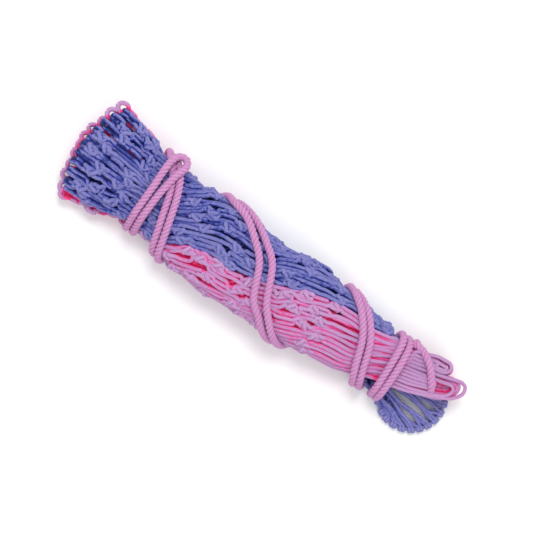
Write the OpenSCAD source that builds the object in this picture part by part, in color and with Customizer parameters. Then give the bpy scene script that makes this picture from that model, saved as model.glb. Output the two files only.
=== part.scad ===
// Hay net, gathered lengthwise, folded in half, and bound with its own drawcord.
// +X runs from the folded end to the mouth end, +Z is up, and the bundle lies on z = 0.
// The origin is the centre of the bundle's footprint.

/* [Drawcord] */
// Diameter of the laid drawcord
cord_d = 8; // [6:0.5:9]
// How far the drawcord presses into the netting
cord_sink = 1; // [0:0.5:2]

/* [Netting] */
// Diameter of the netting twine
twine_d = 4; // [3:0.5:5]
// Number of mesh loops that show around the folded end
rim_loop_count = 13; // [7:1:17]
// Width of one mesh loop at the folded end
rim_loop_w = 13; // [10:1:14]

/* [Base ring] */
// Diameter of the base ring, to the middle of its rod
ring_d = 75; // [65:1:75]
// Diameter of the ring's rod
ring_rod_d = 6; // [4:0.5:6]
// Number of twine hitches around the ring
hitch_count = 36; // [16:1:40]
// Thickness of the netting gathered across the ring
web_t = 8; // [5:0.5:8]

/* [Hidden] */

cord_r = cord_d / 2;
cord_lift = cord_r - cord_sink;

// The gathered bundle, as [x, value] stations: the middle of its width, half its width, its height
bundle_mid = [[-172, -1], [-140, -1], [-90, -7], [-50, -7], [0, -8], [50, -4], [100, -3], [150, -2], [185, -2]];
bundle_half = [[-172, 47], [-155, 44], [-120, 44], [-90, 49], [-50, 51], [0, 46], [35, 50], [60, 47],
    [100, 42], [130, 38], [160, 34], [185, 33]];
bundle_top = [[-172, 45], [-140, 46], [-90, 58], [-50, 62], [0, 60], [50, 60], [100, 55], [140, 50],
    [165, 46], [185, 46]];
// Direction of the seam between the two colours, as [x, angle] from +Y towards +Z
seam_angle = [[-150, 180], [-120, 165], [-95, 118], [-61, 100], [-19, 98], [12, 88], [45, 76], [77, 60],
    [100, 48], [145, 46], [166, 20], [185, 20]];
seam_gap = 0.6;
// How much of the round underside is pressed flat by the floor
bed = 1.5;
run_start = -172;
blue_run_end = 166;
pink_run_end = 184;
run_step = 12;

// The folded end: an arc-shaped rim that opens out from the hitch
fold_start = -175;
fold_neck_half = 48;
fold_rim_half = 65;
fold_rim_x = -248;
fold_rim_bulge = 22;
fold_mid = 0;
fold_h = 45;
fold_seam_z = 22;
fold_reach = 2;
rim_turn = 18;

// The base ring lies under the mouth loops
ring_centre = [214, -14];
hitch_r = ring_rod_d / 2 + 1.6;
ring_z = hitch_r;
web_r = ring_d / 2 - ring_rod_d / 2 - 2;

// Mouth loops, as [x, middle, half width, lowest, highest] stations
upper_lobe = [[187, 24, 9, 16, 40], [195, 26, 9, 14, 40], [208, 31, 10, 14, 38], [220, 33, 9, 14, 36],
    [227, 34, 7, 15, 34], [231, 34, 4, 18, 30]];
lower_lobe = [[187, -3, 16, 16, 40], [200, 0, 16, 14, 40], [215, 5, 15, 14, 39], [230, 11, 15, 14, 37],
    [242, 16, 12, 15, 34], [249, 19, 8, 17, 31], [253, 20, 4, 20, 28]];

// Drawcord routes, as [x, angle around the bundle from +Y towards +Z, extra height]
wrap_a = [
    [174, -180, 0], [173, -225, 0], [171, -270, 0], [169, -310, 0], [166, -345, 0], [163, -385, 0],
    [158, -450, 0], [154, -505, 0], [151, -540, 0], [148, -565, 0], [141, -600, 0], [128, -640, 0],
    [112, -672, 0], [99, -695, 0], [91, -715, 0], [84, -745, 0], [72, -810, 0], [60, -865, 0],
    [50, -900, 0], [38, -925, 0], [24, -950, 0], [8, -970, 0], [-10, -1003, 0], [-30, -1025, 0],
    [-50, -1045, 0], [-70, -1062, 0], [-83, -1090, 0], [-94, -1130, 0], [-101, -1170, 0],
    [-107, -1220, 0], [-110, -1255, 0], [-114, -1285, 0], [-122, -1330, 0], [-134, -1365, 0],
    [-146, -1395, 0], [-157, -1420, 0]
];
wrap_b = [
    [182, -163, 0], [181, -185, 0], [181, -225, 0], [180, -270, 0], [178, -310, 0], [175, -345, 0],
    [171, -385, 0], [166, -450, 0], [162, -505, 0], [159, -540, 0], [156, -565, 0], [150, -600, 0],
    [138, -640, 0], [122, -674, 0], [109, -698, 0], [99, -718, 0], [93, -745, 0], [81, -810, 0],
    [69, -865, 0], [60, -900, 0], [49, -927, 0], [36, -953, 0], [21, -976, 0], [3, -1010, 0],
    [-17, -1033, 0], [-37, -1054, 0], [-57, -1072, 0], [-72, -1095, 0], [-84, -1130, 0],
    [-92, -1170, 0], [-98, -1220, 0], [-101, -1255, 0], [-105, -1285, 0], [-112, -1330, 0],
    [-124, -1365, 0], [-136, -1395, 0], [-147, -1420, 0]
];
hitch_a = [
    [-157, -1420, 0], [-162, -1440, 0], [-164, -1470, 0], [-162, -1530, 0], [-156, -1590, 0],
    [-152, -1620, 0], [-151, -1640, 0], [-151, -1665, 2], [-151, -1685, 6], [-151, -1715, 8],
    [-152, -1738, 9], [-152, -1757, 9], [-150, -1770, 9], [-147, -1777, 9], [-144, -1780, 9]
];
hitch_b = [
    [-147, -1420, 0], [-153, -1440, 0], [-155, -1470, 0], [-153, -1530, 0], [-147, -1590, 0],
    [-143, -1620, 0], [-142, -1640, 0], [-142, -1665, 2], [-142, -1685, 6], [-141, -1715, 8],
    [-138, -1745, 8], [-135, -1761, 8], [-135.5, -1770, 8], [-138, -1777, 9], [-141, -1780, 9],
    [-144, -1780, 9]
];
// The stretch from the mouth loops to the first wrap, between the pink neck and the base ring
neck_route = [[182, 35, 36], [182, 37, 27], [180, 31, 17], [178, 18, 15], [177, 0, 15], [176, -18, 15],
    [175, -31, 16]];
// The stretch threaded through the mouth loops
mouth_route = [[190, 34, 38], [197, 31, 43], [206, 25, 44], [214, 17, 43], [221, 8, 41], [225, 2, 34], [227, -1, 26]];

blue = "#8686C8";
pink = "#D28CC2";

// ---- shapes worked out from the stations

function unit(v) = v / norm(v);
function mix(a, b, u) = a + (b - a) * u;
function mean(v) = v * [for (x = v) 1] / len(v);
function middle(points) = [for (k = [0:2]) mean([for (p = points) p[k]])];
// A rounded box profile: a circle's sine or cosine pushed towards its corners
function squared(v) = sign(v) * pow(abs(v), 0.8);

// A point of the bundle's surface at x, at an angle from +Y towards +Z
function bundle_point(x, a) =
    let (h = (lookup(x, bundle_top) + bed) / 2)
    [x, lookup(x, bundle_mid) + lookup(x, bundle_half) * squared(cos(a)), max(h + h * squared(sin(a)) - bed, 0)];

// A point of the drawcord's middle line, resting on the bundle
function cord_point(p) =
    let (out = unit([0, cos(p[1]) / lookup(p[0], bundle_half), 2 * sin(p[1]) / lookup(p[0], bundle_top)]))
    bundle_point(p[0], p[1]) + (cord_lift + p[2]) * out;

function catmull(a, b, c, d, u) =
    0.5 * (2 * b + (c - a) * u + (2 * a - 5 * b + 4 * c - d) * u * u + (3 * b - a - 3 * c + d) * u * u * u);

// A smooth line through the points, with n steps between each two
function smooth(p, n) =
    let (m = len(p) - 1)
    [for (i = [0:m - 1], k = [0:n - 1])
        catmull(p[max(i - 1, 0)], p[i], p[i + 1], p[min(i + 2, m)], k / n), p[m]];

// The drawcord's middle line through the points, kept on or above the floor
function cord_line(p) = [for (q = smooth(p, 2)) [q.x, q.y, max(q.z, cord_r)]];

function tangents(p) = [for (i = [0:len(p) - 1]) unit(p[min(i + 1, len(p) - 1)] - p[max(i - 1, 0)])];

// A direction square to the line at each point, carried along without twist
function carried(t, first) =
    [for (i = 0, n = unit(first - (first * t[0]) * t[0]); i < len(t);
        n = (i + 1 < len(t)) ? unit(n - (n * t[i + 1]) * t[i + 1]) : n, i = i + 1) n];

// Joins equal rings of points into one closed solid, with an end face of triangles around each middle
module loft(rings) {
    n = len(rings[0]);
    m = len(rings);
    first_mid = m * n;
    last_mid = first_mid + 1;
    last = (m - 1) * n;
    polyhedron(
        points = concat([for (r = rings, p = r) p], [middle(rings[0])], [middle(rings[m - 1])]),
        faces = concat(
            [for (j = [0:n - 1]) [first_mid, j, (j + 1) % n]],
            [for (j = [0:n - 1]) [last_mid, last + (j + 1) % n, last + j]],
            [for (i = [0:m - 2], j = [0:n - 1])
                let (k = (j + 1) % n, a = i * n, b = a + n) each [[a + j, b + j, b + k], [a + j, b + k, a + k]]]
        ),
        convexity = 8
    );
}

module cord(points, first = [1, 0, 0], sides = 8) {
    t = tangents(points);
    n = carried(t, first);
    loft([for (i = [0:len(points) - 1])
        let (u = n[i], v = cross(t[i], u))
        [for (j = [0:sides - 1]) points[i] + cord_r * (cos(-j * 360 / sides) * u + sin(-j * 360 / sides) * v)]]);
}

// One colour's half of the gathered bundle: the arc that starts at the seam angle plus first
module bundle_half_solid(first, x_end) {
    steps = ceil((x_end - run_start) / run_step);
    arc = 14;
    flat = 5;
    loft([for (i = [0:steps])
        let (x = mix(run_start, x_end, i / steps), seam = lookup(x, seam_angle) + first,
            a = seam + seam_gap, b = seam + 180 - seam_gap,
            pa = bundle_point(x, a), pb = bundle_point(x, b))
        concat(
            [for (j = [arc:-1:0]) bundle_point(x, mix(a, b, j / arc))],
            [for (j = [1:flat]) mix(pa, pb, j / (flat + 1))]
        )]);
}

// A point of the folded end: u from its neck to its rim, v across from -1 to 1
function fold_point(u, v, reach) =
    [mix(fold_start, fold_rim_x - reach + fold_rim_bulge * v * v, u),
        fold_mid + v * mix(fold_neck_half, fold_rim_half, sqrt(u)), 0];

// Half the folded end's height at u and v: it rounds off towards the rim and the sides
function fold_swell(u, v) = sqrt(max(1 - pow(u, 6), 0.02)) * sqrt(max(1 - pow(abs(v), 5), 0.02));

module fold_solid(low, high, seam, reach) {
    steps = 8;
    across = 9;
    loft([for (i = [0:steps])
        let (u = i / steps)
        concat(
            [for (j = [0:across]) let (v = 1 - 2 * j / across, s = fold_swell(u, v))
                fold_point(u, v, reach) + [0, 0, mix(seam, high, s)]],
            [for (j = [across:-1:0]) let (v = 1 - 2 * j / across, s = fold_swell(u, v))
                fold_point(u, v, reach) + [0, 0, mix(seam, low, s)]]
        )]);
}

module lobe(stations) {
    sides = 16;
    loft([for (s = stations)
        [for (j = [0:sides - 1])
            let (a = j * 360 / sides)
            [s[0], s[1] + s[2] * squared(cos(a)), mix(s[3], s[4], (1 + squared(sin(a))) / 2)]]]);
}

// ---- the pieces

module blue_net_run() {
    color(blue) bundle_half_solid(-180, blue_run_end);
}

module pink_net_run() {
    color(pink) bundle_half_solid(0, pink_run_end);
}

module blue_net_fold() {
    color(blue) fold_solid(fold_seam_z + seam_gap, fold_h, fold_seam_z + seam_gap, 0);
}

module pink_net_fold() {
    color(pink) fold_solid(0, fold_seam_z - seam_gap, fold_seam_z - seam_gap, fold_reach);
}

module fold_rim_loops() {
    color(pink)
    for (i = [0:rim_loop_count - 1]) {
        v = mix(-0.95, 0.95, i / (rim_loop_count - 1));
        p = fold_point(1, v, fold_reach);
        translate([p.x + 1, p.y, fold_seam_z / 2])
            rotate([0, 0, 90 - rim_turn * v])
                rotate_extrude(angle = 180, $fn = 24)
                    translate([rim_loop_w / 2 - twine_d / 2, 0]) circle(d = twine_d, $fn = 16);
    }
}

module drawcord_wrap_a() {
    color(pink) cord(cord_line(concat(neck_route, [for (p = wrap_a) cord_point(p)])));
}

module drawcord_wrap_b() {
    color(pink) cord(cord_line([for (p = wrap_b) cord_point(p)]));
}

module drawcord_hitch_a() {
    color(pink) cord(cord_line([for (p = hitch_a) cord_point(p)]));
}

module drawcord_hitch_b() {
    color(pink) cord(cord_line([for (p = hitch_b) cord_point(p)]));
}

module drawcord_mouth_strand() {
    color(pink) cord(cord_line(mouth_route), [0, 0, 1]);
}

module mouth_loops_upper() {
    color(pink) lobe(upper_lobe);
}

module mouth_loops_lower() {
    color(pink) lobe(lower_lobe);
}

module base_ring() {
    color(blue)
    translate([ring_centre.x, ring_centre.y, ring_z])
        rotate_extrude($fn = 96) translate([ring_d / 2, 0]) circle(d = ring_rod_d, $fn = 24);
}

// Twine hitched around the ring, as short sleeves that sit on its rod
module base_ring_hitches() {
    color(blue)
    translate([ring_centre.x, ring_centre.y, ring_z])
        for (i = [0:hitch_count - 1])
            rotate([0, 0, i * 360 / hitch_count])
                rotate_extrude(angle = 0.7 * 360 / hitch_count, $fn = 96)
                    translate([ring_d / 2, 0])
                        difference() {
                            circle(r = hitch_r, $fn = 24);
                            circle(d = ring_rod_d, $fn = 24);
                        }
}

module base_net_web() {
    color(blue)
    translate([ring_centre.x, ring_centre.y, ring_z - web_t / 2])
        cylinder(r = web_r, h = web_t, $fn = 64);
}

blue_net_run();
pink_net_run();
blue_net_fold();
pink_net_fold();
fold_rim_loops();
drawcord_wrap_a();
drawcord_wrap_b();
drawcord_hitch_a();
drawcord_hitch_b();
drawcord_mouth_strand();
mouth_loops_upper();
mouth_loops_lower();
base_ring();
base_ring_hitches();
base_net_web();
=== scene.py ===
import math

import bpy
import numpy as np
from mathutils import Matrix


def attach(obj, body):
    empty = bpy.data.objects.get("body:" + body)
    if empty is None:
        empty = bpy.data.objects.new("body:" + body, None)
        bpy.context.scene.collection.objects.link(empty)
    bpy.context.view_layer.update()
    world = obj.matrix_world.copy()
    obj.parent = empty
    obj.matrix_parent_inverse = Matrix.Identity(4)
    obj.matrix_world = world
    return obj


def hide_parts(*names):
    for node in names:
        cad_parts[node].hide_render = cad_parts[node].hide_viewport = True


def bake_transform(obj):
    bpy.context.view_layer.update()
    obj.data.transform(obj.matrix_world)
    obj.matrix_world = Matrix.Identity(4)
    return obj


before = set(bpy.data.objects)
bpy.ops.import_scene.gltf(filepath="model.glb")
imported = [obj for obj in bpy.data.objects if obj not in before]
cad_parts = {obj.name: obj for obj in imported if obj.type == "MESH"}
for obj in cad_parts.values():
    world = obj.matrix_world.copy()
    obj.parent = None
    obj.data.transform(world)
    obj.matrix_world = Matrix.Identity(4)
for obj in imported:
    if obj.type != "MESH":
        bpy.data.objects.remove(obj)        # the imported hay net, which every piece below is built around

# A two-colour knotted hay net, gathered lengthwise, folded in half and bound with its own drawcord.
# All working lengths are in millimetres and become metres when a mesh is made.
# +X runs from the folded end to the mouth end, and "ell" is that same length along the netting.

MM = 0.001
RNG = np.random.default_rng(41)
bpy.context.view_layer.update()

TWINE_D = 4.9
CORD_R = 4.0            # as in the CAD. The laid strands' crests stand 0.45 past it
CORD_SINK = 1.0         # how far the cord presses into the netting

# ------------------------------------------------ camera

PHOTO_TURN = math.radians(36)
VIEW_CENTRE = (0.3, 7.5)
VIEW_WIDTH = 588.5
VIEW_LEVEL = 28.0
CAMERA_DISTANCE = 1700.0
SENSOR = 36.0


def make_camera():
    data = bpy.data.cameras.new("camera")
    data.sensor_width = SENSOR
    data.lens = SENSOR * CAMERA_DISTANCE / VIEW_WIDTH
    data.clip_end = 20
    cam = bpy.data.objects.new("camera", data)
    cam.location = (VIEW_CENTRE[0] * MM, VIEW_CENTRE[1] * MM, (VIEW_LEVEL + CAMERA_DISTANCE) * MM)
    cam.rotation_euler = (0, 0, PHOTO_TURN)
    bpy.context.collection.objects.link(cam)
    bpy.context.scene.camera = cam


# ------------------------------------------------ the gathered bundle's form

# Stations [x, value]: the middle of its width, half its width, its height, its seam's direction
BUNDLE_MID = [(-172, -1), (-140, -1), (-90, -7), (-50, -7), (0, -8), (50, -4), (100, -3), (150, -2),
              (185, -2)]
BUNDLE_HALF = [(-172, 47), (-155, 44), (-120, 44), (-90, 49), (-50, 51), (0, 46), (35, 50), (60, 47),
               (100, 42), (130, 38), (160, 34), (185, 33)]
BUNDLE_TOP = [(-172, 45), (-140, 46), (-90, 58), (-50, 62), (0, 60), (50, 60), (100, 55), (140, 50),
              (165, 46), (185, 46)]
SEAM_ANGLE = [(-150, 180), (-120, 165), (-95, 118), (-61, 100), (-19, 98), (12, 88), (45, 76), (77, 60),
              (100, 48), (145, 46), (166, 20), (185, 20)]
BED = 1.5               # how far the bundle's underside is pressed flat by the floor
SQUARE = 0.8            # the section's corners: 1 is an ellipse, less is squarer

FOLD_START, FOLD_RIM_X, FOLD_BULGE = -175.0, -248.0, 22.0
FOLD_NECK_HALF, FOLD_RIM_HALF = 48.0, 65.0
FOLD_H, FOLD_SEAM_Z = 45.0, 22.0
FOLD_LENGTH = 75.0

RING_CENTRE = np.array([214.0, -14.0])
RING_R = 37.5
RING_Z = 4.6

# The two bunches of mouth loops, as [x, middle, half width, lowest, highest]
UPPER_LOBE = [(187, 23, 9, 16, 41), (195, 25, 9, 15, 41), (208, 30, 10, 15, 40), (220, 32, 9, 15, 38),
              (231, 33, 8, 16, 36)]
LOWER_LOBE = [(187, -2, 17, 16, 41), (200, 1, 17, 15, 41), (215, 6, 16, 15, 40), (230, 11, 15, 15, 38),
              (242, 16, 14, 16, 36), (253, 20, 13, 17, 33)]


def lookup(x, table, column=1):
    rows = np.array(table, float)
    return np.interp(x, rows[:, 0], rows[:, column])


def squared(v):
    return np.sign(v) * np.abs(v) ** SQUARE


def unit(v):
    return v / np.maximum(np.linalg.norm(v, axis=-1, keepdims=True), 1e-9)


def bundle_point(x, degrees):
    a = np.radians(degrees)
    h = (lookup(x, BUNDLE_TOP) + BED) / 2
    y = lookup(x, BUNDLE_MID) + lookup(x, BUNDLE_HALF) * squared(np.cos(a))
    z = np.maximum(h + h * squared(np.sin(a)) - BED, 0)
    return np.stack([x + 0 * a, y, z], -1)


def fold_x(u, v):
    """X in the fold, u of the way to its bulging rim and v of the way across."""
    return FOLD_START + (FOLD_RIM_X + FOLD_BULGE * v * v - FOLD_START) * u


# ------------------------------------------------ lines

def catmull(points, n):
    """A smooth line through the points, n steps between each two. points is (..., count, 3)."""
    p = np.concatenate([points[..., :1, :], points, points[..., -1:, :]], -2)
    a, b, c, d = (p[..., k:p.shape[-2] - 3 + k, None, :] for k in range(4))
    u = (np.arange(n) / n)[:, None]
    q = 0.5 * (2 * b + (c - a) * u + (2 * a - 5 * b + 4 * c - d) * u * u + (3 * b - a - 3 * c + d) * u ** 3)
    q = q.reshape(q.shape[:-3] + (-1, 3))
    return np.concatenate([q, points[..., -1:, :]], -2)


def resample(points, count):
    """The same line with count points, equally spaced along it."""
    step = np.linalg.norm(np.diff(points, axis=0), axis=1)
    s = np.concatenate([[0], np.cumsum(step)])
    t = np.linspace(0, s[-1], count)
    return np.stack([np.interp(t, s, points[:, k]) for k in range(3)], -1)


def length_of(points):
    return float(np.linalg.norm(np.diff(points, axis=0), axis=1).sum())


def tangents(p):
    return unit(np.gradient(p, axis=-2))


def carried(t, first):
    """A direction square to each line, carried along it without twist. t is (lines, count, 3)."""
    out = np.empty_like(t)
    n = unit(first - (first * t[:, 0]).sum(-1, keepdims=True) * t[:, 0])
    out[:, 0] = n
    for i in range(1, t.shape[1]):
        n = unit(n - (n * t[:, i]).sum(-1, keepdims=True) * t[:, i])
        out[:, i] = n
    return out


# ------------------------------------------------ the drawcord's route, as in the CAD

NECK_ROUTE = [(182, 35, 36), (182, 37, 27), (180, 31, 17), (178, 18, 15), (177, 0, 15), (176, -18, 15),
              (175, -31, 16)]
MOUTH_ROUTE = [(190, 34, 38), (197, 31, 43), (206, 25, 44), (214, 17, 43), (221, 8, 41), (225, 2, 34),
               (227, -1, 26)]
# [x, angle around the bundle from +Y towards +Z, extra height]
WRAP_A = [
    (174, -180, 0), (173, -225, 0), (171, -270, 0), (169, -310, 0), (166, -345, 0), (163, -385, 0),
    (158, -450, 0), (154, -505, 0), (151, -540, 0), (148, -565, 0), (141, -600, 0), (128, -640, 0),
    (112, -672, 0), (99, -695, 0), (91, -715, 0), (84, -745, 0), (72, -810, 0), (60, -865, 0),
    (50, -900, 0), (38, -925, 0), (24, -950, 0), (8, -970, 0), (-10, -1003, 0), (-30, -1025, 0),
    (-50, -1045, 0), (-70, -1062, 0), (-83, -1090, 0), (-94, -1130, 0), (-101, -1170, 0),
    (-107, -1220, 0), (-110, -1255, 0), (-114, -1285, 0), (-122, -1330, 0), (-134, -1365, 0),
    (-146, -1395, 0), (-157, -1420, 0)]
WRAP_B = [
    (182, -163, 0), (181, -185, 0), (181, -225, 0), (180, -270, 0), (178, -310, 0), (175, -345, 0),
    (171, -385, 0), (166, -450, 0), (162, -505, 0), (159, -540, 0), (156, -565, 0), (150, -600, 0),
    (138, -640, 0), (122, -674, 0), (109, -698, 0), (99, -718, 0), (93, -745, 0), (81, -810, 0),
    (69, -865, 0), (60, -900, 0), (49, -927, 0), (36, -953, 0), (21, -976, 0), (3, -1010, 0),
    (-17, -1033, 0), (-37, -1054, 0), (-57, -1072, 0), (-72, -1095, 0), (-84, -1130, 0),
    (-92, -1170, 0), (-98, -1220, 0), (-101, -1255, 0), (-105, -1285, 0), (-112, -1330, 0),
    (-124, -1365, 0), (-136, -1395, 0), (-147, -1420, 0)]
HITCH_A = [
    (-162, -1440, 0), (-164, -1470, 0), (-162, -1530, 0), (-156, -1590, 0), (-152, -1620, 0),
    (-151, -1640, 0), (-151, -1665, 2), (-151, -1685, 6), (-151, -1715, 8), (-152, -1738, 9),
    (-152, -1757, 9), (-150, -1770, 9), (-147, -1777, 9), (-144, -1780, 9)]
HITCH_B = [
    (-153, -1440, 0), (-155, -1470, 0), (-153, -1530, 0), (-147, -1590, 0), (-143, -1620, 0),
    (-142, -1640, 0), (-142, -1665, 2), (-142, -1685, 6), (-141, -1715, 8), (-138, -1745, 8),
    (-135, -1761, 8), (-135.5, -1770, 8), (-138, -1777, 9), (-141, -1780, 9), (-144, -1780, 9)]


def cord_point(x, degrees, lift):
    a = math.radians(degrees)
    out = unit(np.array([0, math.cos(a) / lookup(x, BUNDLE_HALF), 2 * math.sin(a) / lookup(x, BUNDLE_TOP)]))
    return bundle_point(x, degrees) + (CORD_R - CORD_SINK + lift) * out


def cord_line(points, steps=12, spacing=1.5):
    line = catmull(np.array(points, float), steps)
    line[:, 2] = np.maximum(line[:, 2], CORD_R + 0.1)
    return resample(line, int(length_of(line) / spacing))


def cord_a_line():
    """From the mouth loops round the neck and the bundle to the hitch's first turn."""
    return cord_line(MOUTH_ROUTE[::-1] + NECK_ROUTE + [cord_point(*p) for p in WRAP_A + HITCH_A[:3]])


def cord_b_line():
    """The cord's second run, on through the hitch's bight, and back to where the first run ends."""
    return cord_line([cord_point(*p) for p in WRAP_B + HITCH_B + HITCH_A[-2:1:-1]])


# ------------------------------------------------ meshes from lines

def tube_mesh(name, lines, normals, radius, sides, flat=1.0, material=None):
    """One mesh of tubes. lines and their normals are lists of (lines, count, 3) batches."""
    verts, faces, uvs, base = [], [], [], 0
    turn = np.arange(sides) * 2 * math.pi / sides
    for p, n in zip(lines, normals):
        t = tangents(p)
        b = np.cross(t, n)
        r = (radius(p[..., 0]) if callable(radius) else np.full(p.shape[:2], radius))[:, :, None, None]
        away = np.cos(turn)[:, None] * b[:, :, None] + flat * np.sin(turn)[:, None] * n[:, :, None]
        ring = p[:, :, None] + r * away
        count, m = p.shape[:2]
        index = base + np.arange(count * m * sides).reshape(count, m, sides)
        near, far = index[:, :-1], index[:, 1:]
        quads = np.stack([near, np.roll(near, -1, 2), np.roll(far, -1, 2), far], -1).reshape(-1, 4)
        along = np.concatenate([np.zeros((count, 1)),
                                np.cumsum(np.linalg.norm(np.diff(p, axis=1), axis=2), 1)], 1)
        around = np.arange(sides + 1) / sides
        u0 = np.broadcast_to(around[:-1], (count, m - 1, sides))
        u1 = np.broadcast_to(around[1:], (count, m - 1, sides))
        v0 = np.broadcast_to(along[:, :-1, None], u0.shape)
        v1 = np.broadcast_to(along[:, 1:, None], u0.shape)
        uv = np.stack([np.stack([u0, v0], -1), np.stack([u1, v0], -1), np.stack([u1, v1], -1),
                       np.stack([u0, v1], -1)], -2).reshape(-1, 2)
        verts.append(ring.reshape(-1, 3))
        faces.append(quads)
        uvs.append(uv)
        base += count * m * sides
    verts, faces, uvs = np.concatenate(verts), np.concatenate(faces), np.concatenate(uvs)
    return mesh_object(name, verts, faces, uvs, material)


def mesh_object(name, verts, faces, uvs, material):
    me = bpy.data.meshes.new(name)
    me.vertices.add(len(verts))
    me.vertices.foreach_set("co", (verts * MM).astype(np.float32).ravel())
    me.loops.add(faces.size)
    me.loops.foreach_set("vertex_index", faces.astype(np.int32).ravel())
    me.polygons.add(len(faces))
    me.polygons.foreach_set("loop_start", np.arange(0, faces.size, faces.shape[1], dtype=np.int32))
    layer = me.uv_layers.new(name="length")
    layer.data.foreach_set("uv", uvs.astype(np.float32).ravel())
    me.polygons.foreach_set("use_smooth", np.ones(len(faces), bool))
    me.update(calc_edges=True)
    me.validate()
    ob = bpy.data.objects.new(name, me)
    bpy.context.collection.objects.link(ob)
    if material:
        me.materials.append(material)
    return ob


def points_of(ob):
    co = np.zeros(len(ob.data.vertices) * 3, np.float32)
    ob.data.vertices.foreach_get("co", co)
    return co.reshape(-1, 3) / MM


def store_recess(ob, deep):
    layer = ob.data.attributes.new("recess", "FLOAT", "POINT")
    layer.data.foreach_set("value", deep.astype(np.float32).ravel())


# ------------------------------------------------ the cord's three strands

CORD_LAY = 15.6         # the length of one full turn of the lay
STRAND_R = 2.3
STRAND_OFFSET = 2.15
STRAND_SIDES = 9
GROOVE_DEPTH = 2.2


def laid_cord(name, line, material):
    """A three-strand laid rope along the line."""
    t = tangents(line)[None]
    n = carried(t, np.array([[0.0, 0.0, 1.0]]))
    b = np.cross(t, n)
    s = np.concatenate([[0], np.cumsum(np.linalg.norm(np.diff(line, axis=0), axis=1))])
    lines, normals = [], []
    for k in range(3):
        phase = (2 * math.pi * (s / CORD_LAY + k / 3))[None, :, None]
        out = np.cos(phase) * n + np.sin(phase) * b
        lines.append(line[None] + STRAND_OFFSET * out)
        normals.append(out)
    lines = np.concatenate(lines)
    first = carried(tangents(lines), np.concatenate(normals)[:, 0])
    ob = tube_mesh(name, [lines], [first], STRAND_R, STRAND_SIDES, material=material)
    mark_grooves(ob, line)
    return ob


def mark_grooves(ob, middle):
    """Stores how deep each point lies in the grooves between the cord's strands, as the amount of painted
    shade there.
    """
    p = points_of(ob).reshape(3, len(middle), -1, 3)
    out = np.linalg.norm(p - middle[None, :, None], axis=-1)
    store_recess(ob, np.clip((STRAND_OFFSET + STRAND_R - 0.35 - out) / GROOVE_DEPTH, 0, 1))


# ------------------------------------------------ the netting's home in the bundle

BLUE, PINK = -1, 1
OUTER, MIDDLE, INNER = 11, 7, 5         # the columns in each layer of the gathered net
COLUMNS = OUTER + MIDDLE + INNER
LEG_STEPS = 6                           # the points along each leg that the settling moves


def section(ell):
    """Middle, half width, centre height, height above it and height below it, at each ell."""
    u = np.clip((FOLD_START - ell) / FOLD_LENGTH, 0, 1)
    swell = np.sqrt(np.maximum(1 - u ** 6, 0.02))
    h = (lookup(ell, BUNDLE_TOP) + BED) / 2
    folded = ell < FOLD_START
    widening = (FOLD_RIM_HALF - FOLD_NECK_HALF) * np.sqrt(u)
    half = np.where(folded, FOLD_NECK_HALF + widening, lookup(ell, BUNDLE_HALF))
    centre = np.where(folded, FOLD_SEAM_Z, h - BED)
    up = np.where(folded, (FOLD_H - FOLD_SEAM_Z) * swell, h)
    down = np.where(folded, FOLD_SEAM_Z * swell, h - BED)
    return lookup(ell, BUNDLE_MID), half, centre, up, down


# How far the upper strands are drawn together under the hitch
NECK_DRAW = 0.14


def place(ell, share, depth, side):
    """Where a strand lies: share runs across one colour's half, depth is how far below the surface it is."""
    ell, share, depth = np.broadcast_arrays(ell, share, depth)
    shape = ell.shape
    ell, share, depth = ell.ravel(), share.ravel(), depth.ravel()
    mid, half, centre, up, down = section(ell)
    angle = np.radians(lookup(ell, SEAM_ANGLE)[:, None] + side * np.linspace(0, 180, 49)[None])
    y = half[:, None] * squared(np.cos(angle))
    z = np.sin(angle)
    z = np.where(z > 0, up[:, None], down[:, None]) * squared(z)
    arc = np.concatenate([np.zeros((len(ell), 1)), np.cumsum(np.hypot(np.diff(y), np.diff(z)), 1)], 1)
    arc /= arc[:, -1:]
    if side == BLUE:
        drawn_in = NECK_DRAW * np.clip((9 - depth) / 5, 0, 1)
        drawn_in = drawn_in * np.interp(ell, (-240, -168, -150, -105), (0, 1, 1, 0))
        share = 0.5 + (share - 0.5) * (1 - drawn_in)
    y, z = (np.array([np.interp(s, a, v) for s, a, v in zip(share, arc, w)]) for w in (y, z))
    inset = np.maximum(1 - depth / np.maximum(np.hypot(y, z), 1), 0.05)
    y, z = y * inset, z * inset
    if side == BLUE:
        y = y + smooth(np.clip((FOLD_START - ell) / 50, 0, 1)) * (2.5 - 0.12 * y)
    v = y / half
    u = np.clip((FOLD_START - ell) / FOLD_LENGTH, 0, 1.1)
    x = np.where(ell < FOLD_START, fold_x(u, v), ell)
    return np.stack([x, mid + y, np.maximum(centre + z, TWINE_D / 2)], -1).reshape(shape + (3,))


def outward(p):
    """The direction away from the bundle's middle at each point."""
    mid, half, centre, up, down = section(p[:, 0])
    dz = p[:, 2] - centre
    height = np.where(dz > 0, up, np.maximum(down, 8))
    return unit(np.stack([0 * dz, (p[:, 1] - mid) / half ** 2, dz / height ** 2], -1))


def sheet_columns():
    """Share and depth of each column: the netting is folded into three layers inside its colour's half."""
    outer = [((i + 0.3) / (OUTER - 0.4), 3.0) for i in range(OUTER)]
    middle = [(1 - (i + 0.5) / MIDDLE, 10.5) for i in range(MIDDLE)]
    inner = [(0.15, 15.5), (0.4, 15.5), (0.62, 15.5), (0.4, 21.0), (0.12, 21.0)]
    return np.array(outer + middle + inner)


def at_column(c):
    """Share and depth at a column position, which may be fractional and wraps round."""
    table = sheet_columns()
    wrapped = np.concatenate([table[-1:], table, table[:1]])
    c = np.mod(c, COLUMNS)
    where = np.arange(-1, COLUMNS + 1) + 0.5
    edges = (where[:, None] + [-0.4, 0.4]).ravel()
    return np.interp(c, where, wrapped[:, 0]), np.interp(c, edges, np.repeat(wrapped[:, 1], 2))


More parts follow.
